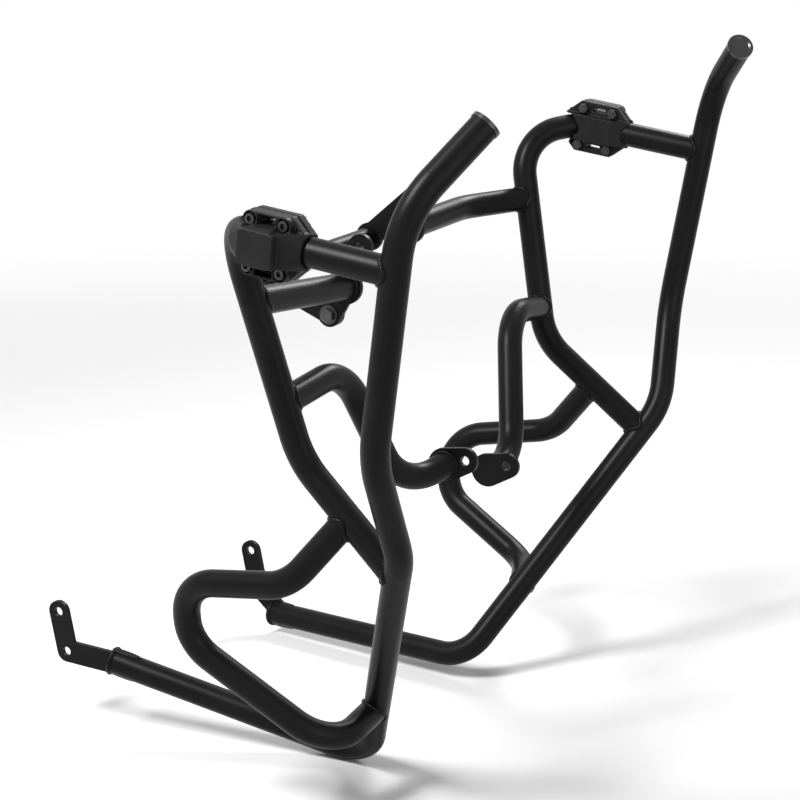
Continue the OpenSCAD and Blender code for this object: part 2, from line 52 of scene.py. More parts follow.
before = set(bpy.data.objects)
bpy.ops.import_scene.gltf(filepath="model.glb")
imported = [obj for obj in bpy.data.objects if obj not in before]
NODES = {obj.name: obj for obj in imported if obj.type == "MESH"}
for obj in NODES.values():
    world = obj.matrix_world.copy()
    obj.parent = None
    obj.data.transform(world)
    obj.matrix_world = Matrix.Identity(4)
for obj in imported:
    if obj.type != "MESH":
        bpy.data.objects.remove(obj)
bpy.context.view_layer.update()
BODY = "root"
MM = 0.001
RIGHT, LEFT = -1, 1

# Sizes of the CAD source, in its own frame and in millimetres
TUBE_R = 14.0
BRIDGE_R = 11.0
MAIN = {
    RIGHT: [
        (337, -232, 729), (403, -186, 658), (378, -144, 425),
        (318, -140, 314), (126, -5, 14), (172, 290, 87),
    ],
    LEFT: [
        (341, -231, 735), (404, -180, 678), (378, -144, 425),
        (321, -157, 316), (131, 5, 36), (172, 286, 33),
    ],
}
CROSSBAR_Z = {RIGHT: 605, LEFT: 608}
CROSSBAR_REAR = {RIGHT: (386, -28, 621), LEFT: (386, -20, 631)}
LEG_TOP = {RIGHT: (329, 35, 627), LEFT: (332, 33, 620)}
KNEE = (292, -20, 388)
HOOP_FOOT_Z = 288
LOOP_START_Z = 338
LOOP_FRONT = (321, -20, 269)
LOOP_BOTTOM = {RIGHT: (272, -40, 84), LEFT: (268, -8, 116)}
LOOP_FOOT_Z = {RIGHT: 96, LEFT: 118}
MIDDLE_START_Z = {RIGHT: 446, LEFT: 424}
MIDDLE_OUTER = {RIGHT: (187, -8, 455), LEFT: (194, -18, 438)}
MIDDLE_END = {RIGHT: (60, -60, 328), LEFT: (60, -56, 292)}
# Middle of the right middle plate, and its hole's distance and tilt from the tube's end
PLATE_X, PLATE_ARM, PLATE_TILT = 57.5, 25, math.radians(18)
UPPER_START_Z = {RIGHT: 545, LEFT: 549}
UPPER_NEXT = {RIGHT: (146, 11, 529), LEFT: (236, 62, 547)}
FLANGE = {RIGHT: (146, 11, 529), LEFT: (102, 62, 546)}
FLANGE_T = 5.0
BRIDGE_YZ = (109, 532)
BRACKET_INSERT = 24.0
SLIDER_Y = {RIGHT: -50, LEFT: -43}
SLIDER_L, SLIDER_H = 78.0, 60.0
SLIDER_FLAT_L, SLIDER_FLAT_H = 44.0, 28.0
SLIDER_GAP = 2.0
SLIDER_FLANGE = 9.0
SLIDER_OUT = 34.0
SLIDER_BOLTS = (18.0, 22.0)
# The row frame starts at the hole of the right middle plate
ORIGIN = Vector((
    -PLATE_X,
    MIDDLE_END[RIGHT][1] - PLATE_ARM * math.cos(PLATE_TILT),
    MIDDLE_END[RIGHT][2] + PLATE_ARM * math.sin(PLATE_TILT),
))

# Details of the slider shells, in millimetres
LAND_OUT, LAND_R = 17.0, 8.0
FACE_L, FACE_H = 38.0, 33.0
FACE_SPREAD = 7.0
FLARE_R, FLARE_T = 17.5, 2
FLARE_ROOT = FACE_L / 2.2
FLARE_DROP = 5
BORE_FIT = 0.5
POCKET_FLOOR, POCKET_R, BOLT_HOLE_R = 10.0, 6.5, 3.25
WINDOW_L, WINDOW_FLOOR, WINDOW_V = 19.0, 8.0, (18.5, 27.5)
SLOT_HALF = 2.5
CUT_OVER, HOLE_OVER = 5, 1
# Voxel size in metres, and how often each half is smoothed
SLIDER_VOXEL = 0.0007
SHELL_ROUNDS, INNER_ROUNDS = 9, 4

# Weld beads, in millimetres
END_BEAD_IN, END_BEAD_DROP = 1.2, 0.6
SLOT_BEAD, SLOT_BEAD_DROP, SLOT_BEAD_OVER = 2.2, 1.2, 6
# A saddle bead runs round a slightly narrower branch, so it has no sharp corners
SADDLE_SHARE = 0.955
LEAST_RIPPLES = 8

# Soft edges, in metres and radians
PLATE_BEVEL, CAP_BEVEL, FASTENER_BEVEL = 0.0006, 0.0014, 0.0003
SHARP_ANGLE, BEVEL_ANGLE = math.radians(35), math.radians(40)

# Specular level of black coats, which reflect less than bare plastic
SHEEN = 0.10
# Share of the coat's roughness that a smoother weld bead has
BEAD_SHINE = 0.85
# Detail of the two noises, and the range of the broad one over which a colour drifts
FINE_DETAIL, BROAD_DETAIL = 3.0, 4.0
DRIFT_FROM, DRIFT_TO = 0.35, 0.75
# The colour sockets of a Mix node
MIX_A, MIX_B, MIX_RESULT = 6, 7, 2

# Camera in the CAD source's frame, and the stage in metres
CAMERA_AT = Vector((-2137.6, -1073.2, 1000.5))
CAMERA_FORWARD = Vector((0.8612, 0.4415, -0.2519))
SENSOR = 36.0
NEAR_CLIP, FAR_CLIP = 0.05, 60
FLOOR_R, FLOOR_SIDES, FLOOR_DROP = 3.2, 96, 0.0005
# Shares of the floor's radius between which it fades into white
FLOOR_FADE = (0.25, 0.92)
WORLD_LIGHT = 0.22
UP = Vector((0, 0, 1))
# Each light's place toward the camera, to the right and up from the middle, and its size
KEY_PLACE, KEY_SIZE = (1.0, -1.4, 1.9), (0.6, 1.0)
FILL_PLACE, FILL_SIZE = (2.0, 1.6, 0.5), (1.6, 1.6)
RIM_PLACE, RIM_SIZE = (-1.6, 0.9, 1.6), (0.7, 0.7)


def side(s, p):
    """Point of one side, in the CAD source's frame."""
    return Vector((s * p[0], p[1], p[2]))


def at_z(a, b, z):
    """Point of the line from a to b at height z."""
    return a + (b - a) * ((z - a.z) / (b.z - a.z))


def to_row(p):
    """From the CAD source's frame in millimetres to the row frame in metres."""
    return (p - ORIGIN) * MM


# Properties


class CrashCoat(bpy.types.PropertyGroup):
    base: bpy.props.FloatVectorProperty(
        name="Coat colour", description="Colour of the powder coat", subtype="COLOR", size=3,
        default=(0.0030, 0.0029, 0.0028), min=0.0, max=1.0)
    worn: bpy.props.FloatVectorProperty(
        name="Coat variation", description="Lighter tone that the coat varies towards",
        subtype="COLOR", size=3, default=(0.0064, 0.0062, 0.0060), min=0.0, max=1.0)
    roughness: bpy.props.FloatProperty(
        name="Coat roughness", description="Roughness of the powder coat", subtype="FACTOR",
        default=0.36, min=0.0, max=1.0)
    grain: bpy.props.FloatProperty(
        name="Coat grain", description="Strength of the coat's fine texture", subtype="FACTOR",
        default=0.22, min=0.0, max=1.0)


class CrashPlastic(bpy.types.PropertyGroup):
    slider: bpy.props.FloatVectorProperty(
        name="Slider colour", description="Colour of the moulded sliders", subtype="COLOR", size=3,
        default=(0.010, 0.010, 0.0103), min=0.0, max=1.0)
    cap: bpy.props.FloatVectorProperty(
        name="Cap colour", description="Colour of the end caps", subtype="COLOR", size=3,
        default=(0.006, 0.006, 0.006), min=0.0, max=1.0)
    steel: bpy.props.FloatVectorProperty(
        name="Fastener colour", description="Colour of the plated fasteners", subtype="COLOR", size=3,
        default=(0.05, 0.05, 0.052), min=0.0, max=1.0)


class CrashWeld(bpy.types.PropertyGroup):
    radius: bpy.props.FloatProperty(
        name="Bead radius", description="Radius of a weld bead", subtype="DISTANCE", unit="LENGTH",
        default=0.0029, min=0.001, max=0.008)
    ripple: bpy.props.FloatProperty(
        name="Ripple", description="Share of the bead radius that its ripples take", subtype="FACTOR",
        default=0.09, min=0.0, max=0.5)
    pitch: bpy.props.FloatProperty(
        name="Ripple pitch", description="Distance between two ripples", subtype="DISTANCE", unit="LENGTH",
        default=0.0028, min=0.001, max=0.01)


class CrashStage(bpy.types.PropertyGroup):
    floor: bpy.props.FloatVectorProperty(
        name="Floor colour", description="Colour of the studio floor", subtype="COLOR", size=3,
        default=(0.80, 0.80, 0.805), min=0.0, max=1.0)
    lens: bpy.props.FloatProperty(
        name="Lens", description="Focal length on a 36 mm sensor, in millimetres",
        subtype="DISTANCE_CAMERA", unit="CAMERA", default=103.1, min=20, max=300)
    key: bpy.props.FloatProperty(
        name="Key light", description="Power of the key light", subtype="POWER", default=90.0, min=0.0)
    fill: bpy.props.FloatProperty(
        name="Fill light", description="Power of the fill light", subtype="POWER", default=14.0, min=0.0)
    rim: bpy.props.FloatProperty(
        name="Rim light", description="Power of the rim light", subtype="POWER", default=40.0, min=0.0)


# Materials


def new_material(name):
    """Material with an empty node tree, its output and Principled shader."""
    mat = bpy.data.materials.new(name)
    mat.use_nodes = True
    nt = mat.node_tree
    nt.nodes.clear()
    out = nt.nodes.new("ShaderNodeOutputMaterial")
    bsdf = nt.nodes.new("ShaderNodeBsdfPrincipled")
    out.location = (900, 0)
    bsdf.location = (600, 0)
    nt.links.new(bsdf.outputs["BSDF"], out.inputs["Surface"])
    return mat, nt, bsdf


def surface_group(name, build):
    """Shader node group with colour, roughness and normal outputs, made once."""
    if name in bpy.data.node_groups:
        return bpy.data.node_groups[name]
    group = bpy.data.node_groups.new(name, "ShaderNodeTree")
    face = group.interface
    face.new_socket("Base", in_out="INPUT", socket_type="NodeSocketColor")
    face.new_socket("Variation", in_out="INPUT", socket_type="NodeSocketColor")
    face.new_socket("Roughness", in_out="INPUT", socket_type="NodeSocketFloat")
    face.new_socket("Grain", in_out="INPUT", socket_type="NodeSocketFloat")
    face.new_socket("Color", in_out="OUTPUT", socket_type="NodeSocketColor")
    face.new_socket("Roughness", in_out="OUTPUT", socket_type="NodeSocketFloat")
    face.new_socket("Normal", in_out="OUTPUT", socket_type="NodeSocketVector")
    gin = group.nodes.new("NodeGroupInput")
    gout = group.nodes.new("NodeGroupOutput")
    gin.location = (-1100, 0)
    gout.location = (500, 0)
    build(group, gin, gout)
    return group


def noise(nt, scale, detail, at, vector):
    """Noise texture read along a vector."""
    node = nt.nodes.new("ShaderNodeTexNoise")
    node.inputs["Scale"].default_value = scale
    node.inputs["Detail"].default_value = detail
    node.location = at
    nt.links.new(vector, node.inputs["Vector"])
    return node


def build_surface(fine_scale, coarse_scale, rough_spread, bump_distance):
    """Fine grain bump, broad colour drift and uneven roughness."""

    def build(nt, gin, gout):
        coord = nt.nodes.new("ShaderNodeTexCoord")
        coord.location = (-1100, -300)
        obj = coord.outputs["Object"]
        fine = noise(nt, fine_scale, FINE_DETAIL, (-800, -300), obj)
        broad = noise(nt, coarse_scale, BROAD_DETAIL, (-800, 100), obj)
        ramp = nt.nodes.new("ShaderNodeMapRange")
        ramp.location = (-550, 100)
        ramp.inputs["From Min"].default_value = DRIFT_FROM
        ramp.inputs["From Max"].default_value = DRIFT_TO
        nt.links.new(broad.outputs["Fac"], ramp.inputs["Value"])
        mix = nt.nodes.new("ShaderNodeMix")
        mix.data_type = "RGBA"
        mix.location = (-250, 200)
        nt.links.new(ramp.outputs["Result"], mix.inputs["Factor"])
        nt.links.new(gin.outputs["Base"], mix.inputs[MIX_A])
        nt.links.new(gin.outputs["Variation"], mix.inputs[MIX_B])
        spread = nt.nodes.new("ShaderNodeMapRange")
        spread.location = (-550, -120)
        spread.inputs["To Min"].default_value = -rough_spread
        spread.inputs["To Max"].default_value = rough_spread
        nt.links.new(broad.outputs["Fac"], spread.inputs["Value"])
        rough = nt.nodes.new("ShaderNodeMath")
        rough.operation = "ADD"
        rough.location = (-250, -60)
        nt.links.new(gin.outputs["Roughness"], rough.inputs[0])
        nt.links.new(spread.outputs["Result"], rough.inputs[1])
        bump = nt.nodes.new("ShaderNodeBump")
        bump.location = (0, -300)
        bump.inputs["Distance"].default_value = bump_distance
        nt.links.new(gin.outputs["Grain"], bump.inputs["Strength"])
        nt.links.new(fine.outputs["Fac"], bump.inputs["Height"])
        nt.links.new(mix.outputs[MIX_RESULT], gout.inputs["Color"])
        nt.links.new(rough.outputs["Value"], gout.inputs["Roughness"])
        nt.links.new(bump.outputs["Normal"], gout.inputs["Normal"])

    return build


def textured(name, group, base, variation, roughness, grain, **constants):
    """Material whose colour, roughness and normal come from a surface group."""
    if name in bpy.data.materials:
        return bpy.data.materials[name]
    mat, nt, bsdf = new_material(name)
    g = nt.nodes.new("ShaderNodeGroup")
    g.node_tree = group
    g.location = (250, 0)
    g.inputs["Base"].default_value = (*base, 1)
    g.inputs["Variation"].default_value = (*variation, 1)
    g.inputs["Roughness"].default_value = roughness
    g.inputs["Grain"].default_value = grain
    nt.links.new(g.outputs["Color"], bsdf.inputs["Base Color"])
    nt.links.new(g.outputs["Roughness"], bsdf.inputs["Roughness"])
    nt.links.new(g.outputs["Normal"], bsdf.inputs["Normal"])
    for socket, value in constants.items():
        bsdf.inputs[socket.replace("_", " ")].default_value = value
    return mat


def powder_surface():
    """Orange peel of powder coat."""
    return surface_group("powder_surface", build_surface(
        fine_scale=900.0, coarse_scale=14.0, rough_spread=0.05, bump_distance=0.00012))


def moulded_surface():
    """Grain of moulded plastic."""
    return surface_group("moulded_surface", build_surface(
        fine_scale=650.0, coarse_scale=20.0, rough_spread=0.06, bump_distance=0.0005))


def plated_surface():
    """Very fine grain of plated steel."""
    return surface_group("plated_surface", build_surface(
        fine_scale=1800.0, coarse_scale=60.0, rough_spread=0.08, bump_distance=0.0002))


def shade(colour, share):
    """The same colour, lighter or darker."""
    return [c * share for c in colour]


def coat_material():
    p = bpy.context.scene.crash_coat
    return textured(
        "black_coat", powder_surface(), base=p.base, variation=p.worn,
        roughness=p.roughness, grain=p.grain, Specular_IOR_Level=SHEEN)


def weld_material():
    p = bpy.context.scene.crash_coat
    return textured(
        "coated_bead", powder_surface(), base=p.base, variation=p.worn,
        roughness=p.roughness * BEAD_SHINE, grain=p.grain, Specular_IOR_Level=SHEEN)


def slider_material():
    p = bpy.context.scene.crash_plastic
    return textured(
        "moulded_black", moulded_surface(), base=p.slider, variation=shade(p.slider, 1.6),
        roughness=0.44, grain=0.35, Specular_IOR_Level=SHEEN)


def cap_material():
    p = bpy.context.scene.crash_plastic
    return textured(
        "gloss_black", moulded_surface(), base=p.cap, variation=shade(p.cap, 1.5),
        roughness=0.3, grain=0.05, Coat_Weight=0.12)


def steel_material():
    p = bpy.context.scene.crash_plastic
    return textured(
        "plated_black", plated_surface(), base=p.steel, variation=shade(p.steel, 1.8),
        roughness=0.33, grain=0.2, Metallic=0.85)


# Pieces


def dress(name, mat, bevel=0.0):
    """Gives a CAD node its material, smooth shading and, on request, softened edges."""
    o = NODES[name]
    o.data.materials.clear()
    o.data.materials.append(mat)
    for poly in o.data.polygons:
        poly.use_smooth = True
    o.data.set_sharp_from_angle(angle=SHARP_ANGLE)
    if bevel:
        m = o.modifiers.new("soft_edges", "BEVEL")
        m.width = bevel
        m.segments = 2
        m.limit_method = "ANGLE"
        m.angle_limit = BEVEL_ANGLE


def ring_mesh(name, points, radius_at, sides=10):
    """Closed tube along a ring of points, its radius a function of distance along it."""
    count = len(points)
    bm = bmesh.new()
    rings = []
    run = 0.0
    middle = sum(points, Vector()) / count
    for i, p in enumerate(points):
        nxt = points[(i + 1) % count]
        prv = points[i - 1]
        tangent = (nxt - prv).normalized()
        out = p - middle
        out = (out - tangent * out.dot(tangent)).normalized()
        up = tangent.cross(out)
        r = radius_at(run)
        rings.append([
            bm.verts.new(p + out * (r * math.cos(a)) + up * (r * math.sin(a)))
            for a in (2 * math.pi * k / sides for k in range(sides))
        ])
        run += (nxt - p).length
    for i in range(count):
        a, b = rings[i], rings[(i + 1) % count]
        for k in range(sides):
            bm.faces.new((a[k], b[k], b[(k + 1) % sides], a[(k + 1) % sides]))
    bmesh.ops.recalc_face_normals(bm, faces=bm.faces)
    mesh = bpy.data.meshes.new(name)
    bm.to_mesh(mesh)
    bm.free()
    for poly in mesh.polygons:
        poly.use_smooth = True
    o = bpy.data.objects.new(name, mesh)
    bpy.context.scene.collection.objects.link(o)
    mesh.materials.append(weld_material())
    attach(o, BODY)


def bead_radius(length):
    """Radius along a bead of that length, with a whole number of ripples."""
    p = bpy.context.scene.crash_weld
    ripples = max(LEAST_RIPPLES, round(length / p.pitch))

    def at(run):
        wave = abs(math.sin(math.pi * ripples * run / length))
        return p.radius * (1 - p.ripple + p.ripple * wave)

    return at


def closed_length(points):
    """Length of a ring of points."""
    return sum((points[i] - points[i - 1]).length for i in range(len(points)))


def across(w):
    """Two directions square to w."""
    u = w.orthogonal().normalized()
    return u, w.cross(u)


def saddle(joint, host, branch, host_r, branch_r, steps=260):
    """Ring where a branch tube leaves the skin of a host tube."""
    host = host.normalized()
    branch = branch.normalized()
    u, v = across(branch)
    points = []
    for i in range(steps):
        a = 2 * math.pi * i / steps
        start = u * (branch_r * math.cos(a)) + v * (branch_r * math.sin(a))
        s0 = start - host * start.dot(host)
        d0 = branch - host * branch.dot(host)
        qa = d0.length_squared
        qb = 2 * s0.dot(d0)
        qc = s0.length_squared - host_r * host_r
        root = max(qb * qb - 4 * qa * qc, 0.0)
        t = (-qb + math.sqrt(root)) / (2 * qa)
        points.append(to_row(joint + start + branch * t))
    return points


def circle(centre, axis, r, steps=220):
    """Ring round an axis."""
    u, v = across(axis.normalized())
    return [
        to_row(centre + u * (r * math.cos(a)) + v * (r * math.sin(a)))
        for a in (2 * math.pi * i / steps for i in range(steps))
    ]


def weld(name, points):
    """Rippled bead along a ring of points."""
    ring_mesh(name, points, bead_radius(closed_length(points)))


def seam_loop(a, b, off, steps=120):
    """Narrow closed loop from a to b and back, which closes a slot."""
    along = b - a
    return [
        to_row((a + b) / 2 + along * (0.5 * math.cos(t)) + off * math.sin(t))
        for t in (2 * math.pi * i / steps for i in range(steps))
    ]


def side_joints(s):
    """Name, joint, host direction and branch direction of each tube joint on one side."""
    m = [side(s, p) for p in MAIN[s]]
    rear = side(s, CROSSBAR_REAR[s])
    leg, knee = side(s, LEG_TOP[s]), side(s, KNEE)
    bar = at_z(m[1], m[2], CROSSBAR_Z[s])
    foot = at_z(m[3], m[4], HOOP_FOOT_Z)
    loop = at_z(knee, foot, LOOP_START_Z)
    loop_foot = at_z(m[3], m[4], LOOP_FOOT_Z[s])
    middle = at_z(leg, knee, MIDDLE_START_Z[s])
    upper = at_z(leg, knee, UPPER_START_Z[s])
    return [
        ("crossbar", bar, m[2] - m[1], rear - bar),
        ("hoop_foot", foot, m[4] - m[3], knee - foot),
        ("loop_start", loop, foot - knee, side(s, LOOP_FRONT) - loop),
        ("loop_foot", loop_foot, m[4] - m[3], side(s, LOOP_BOTTOM[s]) - loop_foot),
        ("middle_mount", middle, knee - leg, side(s, MIDDLE_OUTER[s]) - middle),
        ("upper_mount", upper, knee - leg, side(s, UPPER_NEXT[s]) - upper),
    ]


def side_name(s):
    """Word for a side in the names of its pieces."""
    return "right" if s == RIGHT else "left"


def hull_of(points):
    """Convex solid through points, as a bmesh."""
    bm = bmesh.new()
    for p in points:
        bm.verts.new(p)
    out = bmesh.ops.convex_hull(bm, input=bm.verts)
    loose = [g for g in out["geom_interior"] if isinstance(g, bmesh.types.BMVert)]
    bmesh.ops.delete(bm, geom=loose, context="VERTS")
    bmesh.ops.recalc_face_normals(bm, faces=bm.faces)
    return bm


def disc(u, w, v, r, count=28):
    """Points of a circle that faces along w."""
    return [
        (u + r * math.cos(a), w, v + r * math.sin(a))
        for a in (2 * math.pi * k / count for k in range(count))
    ]


def slab(us, ws, vs):
    """Corners of a box, or of one face of it, in a slider's directions."""
    return [(u, w, v) for u in us for w in ws for v in vs]


def rod(u0, u1, w, v, r, count=48):
    """Points of a cylinder along u."""
    return [
        (u, w + r * math.cos(a), v + r * math.sin(a))
        for u in (u0, u1)
        for a in (2 * math.pi * k / count for k in range(count))
    ]


def temp_object(bm):
    """Object made of a bmesh, which is used up."""
    mesh = bpy.data.meshes.new("part")
    bm.to_mesh(mesh)
    bm.free()
    o = bpy.data.objects.new("part", mesh)
    bpy.context.scene.collection.objects.link(o)
    return o


def carve(body, others, operation):
    """Adds solids to a body or takes them from it."""
    for other in others:
        m = body.modifiers.new("cut", "BOOLEAN")
        m.operation = operation
        m.solver = "EXACT"
        m.object = other
    bpy.context.view_layer.update()
    shape = body.evaluated_get(bpy.context.evaluated_depsgraph_get())
    mesh = bpy.data.meshes.new_from_object(shape)
    body.modifiers.clear()
    body.data = mesh
    for other in others:
        bpy.data.objects.remove(other)


def moulded(o, voxel, rounds):
    """Rounds every edge of a solid as a mould does."""
    remesh = o.modifiers.new("mould", "REMESH")
    remesh.mode = "VOXEL"
    remesh.voxel_size = voxel
    remesh.use_smooth_shade = True
    soft = o.modifiers.new("round", "SMOOTH")
    soft.factor = 0.5
    soft.iterations = rounds


def slider_place(s):
    """Middle of a slider and its directions along the tube, outward and up."""
    m = [side(s, p) for p in MAIN[s]]
    a = at_z(m[1], m[2], CROSSBAR_Z[s])
    b = side(s, CROSSBAR_REAR[s])
    c = a + (b - a) * ((SLIDER_Y[s] - a.y) / (b.y - a.y))
    u = (b - a).normalized()
    out = UP.cross(u).normalized() * -s
    return c, u, out, u.cross(out) * -s


def shell_flange():
    """Flat flange with cut corners, at the parting face."""
    hl, hh, fl, fh = SLIDER_L / 2, SLIDER_H / 2, SLIDER_FLAT_L / 2, SLIDER_FLAT_H / 2
    octagon = [(-hl, -fh), (-fl, -hh), (fl, -hh), (hl, -fh), (hl, fh), (fl, hh), (-fl, hh), (-hl, fh)]
    return hull_of([(u, w, v) for u, v in octagon for w in (SLIDER_GAP / 2, SLIDER_FLANGE)])


def shell_raised():
    """What stands on the flange: the bolt lands, the proud face and a flare at each end."""
    low, hl = SLIDER_GAP / 2, SLIDER_L / 2
    bu, bv = SLIDER_BOLTS
    centres = [(u, v) for u in (-bu, bu) for v in (-bv, bv)]
    lands = [p for u, v in centres for w in (low, LAND_OUT) for p in disc(u, w, v, LAND_R)]
    spread_l, spread_h = FACE_L / 2 + FACE_SPREAD, FACE_H / 2 + FACE_SPREAD
    face = slab((-FACE_L / 2, FACE_L / 2), (SLIDER_OUT,), (-FACE_H / 2, FACE_H / 2))
    face += slab((-spread_l, spread_l), (low,), (-spread_h, spread_h))
    solids = [hull_of(lands), hull_of(face)]
    for end in (-1, 1):
        lip = (end * hl, end * (hl - FLARE_T))
        flare = [p for p in rod(*lip, 0, 0, FLARE_R) if p[1] >= low]
        flare += slab(lip, (low,), (-FLARE_R, FLARE_R))
        flare += slab((end * FLARE_ROOT,), (low, SLIDER_OUT - FLARE_DROP), (-FACE_H / 2, FACE_H / 2))
        solids.append(hull_of(flare))
    return solids


def shell_cuts():
    """What is cut from the shell: bore, bolt pockets and holes, and a window and slot above and below."""
    hl = SLIDER_L / 2
    bu, bv = SLIDER_BOLTS
    beyond = SLIDER_OUT + CUT_OVER
    pocket_w = (POCKET_FLOOR, beyond)
    hole_w = (0, POCKET_FLOOR + HOLE_OVER)
    window_u = (-WINDOW_L / 2, WINDOW_L / 2)
    cuts = [hull_of(rod(-hl - CUT_OVER, hl + CUT_OVER, 0, 0, TUBE_R + BORE_FIT))]
    for v in (-1, 1):
        for u in (-bu, bu):
            cuts.append(hull_of([p for w in pocket_w for p in disc(u, w, v * bv, POCKET_R)]))
            cuts.append(hull_of([p for w in hole_w for p in disc(u, w, v * bv, BOLT_HOLE_R)]))
        window_v = (v * WINDOW_V[0], v * WINDOW_V[1])
        slot_v = (v * (bv - SLOT_HALF), v * (bv + SLOT_HALF))
        cuts.append(hull_of(slab(window_u, (WINDOW_FLOOR, beyond), window_v)))
        cuts.append(hull_of(slab(window_u, (0, SLIDER_OUT), slot_v)))
    return cuts


def slider_matrix(s):
    """From a slider's own directions in millimetres to the row frame in metres."""
    c, u, out, up = slider_place(s)
    at = to_row(c)
    rows = [(u[i] * MM, out[i] * MM, up[i] * MM, at[i]) for i in range(3)]
    return Matrix((*rows, (0, 0, 0, 1)))


def slider_outer(s):
    """Outer half of a slider, moulded round its side's crossbar."""
    raised = [temp_object(bm) for bm in shell_raised()]
    body = temp_object(shell_flange())
    carve(body, raised, "UNION")
    carve(body, [temp_object(bm) for bm in shell_cuts()], "DIFFERENCE")
    body.data.transform(slider_matrix(s))
    if s == LEFT:
        body.data.flip_normals()
    body.name = f"{side_name(s)}_slider_shell"
    body.data.name = body.name
    body.data.materials.clear()
    body.data.materials.append(slider_material())
    moulded(body, SLIDER_VOXEL, SHELL_ROUNDS)
    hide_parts(f"{side_name(s)}_slider_outer_half")
    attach(body, BODY)


class CRASH_OT_coat(bpy.types.Operator):
    """Powder coat on the tubes, plates, brackets and bridge"""

    bl_idname = "crash.coat"
    bl_label = "Powder coat"

    def execute(self, context):
        for name in NODES:
            if "tube" in name:
                dress(name, coat_material())
            elif any(w in name for w in ("bracket", "plate", "flange", "strip")):
                dress(name, coat_material(), bevel=PLATE_BEVEL)
        return {"FINISHED"}


class CRASH_OT_sliders(bpy.types.Operator):
    """Moulded plastic on both halves of the sliders"""

    bl_idname = "crash.sliders"
    bl_label = "Sliders"

    def execute(self, context):
        for name in NODES:
            if "slider" in name and "half" in name:
                dress(name, slider_material())
            if "slider_inner" in name:
                moulded(NODES[name], SLIDER_VOXEL, INNER_ROUNDS)
        for s in (RIGHT, LEFT):
            slider_outer(s)
        return {"FINISHED"}


class CRASH_OT_caps(bpy.types.Operator):
    """Glossy plastic on the end caps"""

    bl_idname = "crash.caps"
    bl_label = "End caps"

    def execute(self, context):
        for name in NODES:
            if "end_cap" in name:
                dress(name, cap_material(), bevel=CAP_BEVEL)
        return {"FINISHED"}


class CRASH_OT_fasteners(bpy.types.Operator):
    """Plated steel on bolts, nuts and washers"""

    bl_idname = "crash.fasteners"
    bl_label = "Fasteners"

    def execute(self, context):
        for name in NODES:
            if any(w in name for w in ("bolts", "nuts", "washers")):
                dress(name, steel_material(), bevel=FASTENER_BEVEL)
        return {"FINISHED"}


class CRASH_OT_welds(bpy.types.Operator):
    """Rippled weld beads where tubes and plates meet"""

    bl_idname = "crash.welds"
    bl_label = "Weld beads"

    def execute(self, context):
        x_axis = Vector((1, 0, 0))
        for s in (RIGHT, LEFT):
            label = side_name(s)
            for name, joint, host, branch in side_joints(s):
                ring = saddle(joint, host, branch, TUBE_R, TUBE_R * SADDLE_SHARE)
                weld(f"{label}_{name}_weld", ring)
            rear, corner = side(s, MAIN[s][5]), side(s, MAIN[s][4])
            inward = (corner - rear).normalized()
            end = rear + inward * END_BEAD_IN
            weld(f"{label}_rear_end_weld", circle(end, inward, TUBE_R - END_BEAD_DROP))
            for edge, sign in (("top", 1), ("bottom", -1)):
                skin = rear + inward.cross(x_axis).normalized() * (sign * (TUBE_R - SLOT_BEAD_DROP))
                root = skin + inward * (BRACKET_INSERT + SLOT_BEAD_OVER)
                weld(f"{label}_bracket_{edge}_weld", seam_loop(skin, root, x_axis * SLOT_BEAD))
            weld(f"{label}_middle_plate_weld", circle(side(s, MIDDLE_END[s]), x_axis, TUBE_R))
            weld(f"{label}_flange_weld", circle(side(s, FLANGE[s]), x_axis, TUBE_R))
            hub = Vector((s * (FLANGE[s][0] - FLANGE_T), *BRIDGE_YZ))
            weld(f"{label}_bridge_weld", circle(hub, x_axis, BRIDGE_R))
        return {"FINISHED"}


# Stage


def stage_point(centre, place):
    """Point so far toward the camera, to its right and up from the centre."""
    right = CAMERA_FORWARD.cross(UP).normalized()
    toward = -Vector((CAMERA_FORWARD.x, CAMERA_FORWARD.y, 0)).normalized()
    return centre + toward * place[0] + right * place[1] + UP * place[2]


def area_light(name, centre, place, size, power):
    """Rectangular light that faces the centre."""
    data = bpy.data.lights.new(name, "AREA")
    data.shape = "RECTANGLE"
    data.size, data.size_y = size
    data.energy = power
    at = stage_point(centre, place)
    o = bpy.data.objects.new(name, data)
    o.location = at
    o.rotation_mode = "QUATERNION"
    o.rotation_quaternion = (centre - at).to_track_quat("-Z", "Y")
    bpy.context.scene.collection.objects.link(o)


def shown_rays(nt, path):
    """1 for the rays that show the background: seen, mirrored or let through."""
    shown = path.outputs["Is Camera Ray"]
    for ray in ("Is Glossy Ray", "Is Transmission Ray"):
        both = nt.nodes.new("ShaderNodeMath")
        both.operation = "MAXIMUM"
        nt.links.new(shown, both.inputs[0])
        nt.links.new(path.outputs[ray], both.inputs[1])
        shown = both.outputs["Value"]
    return shown


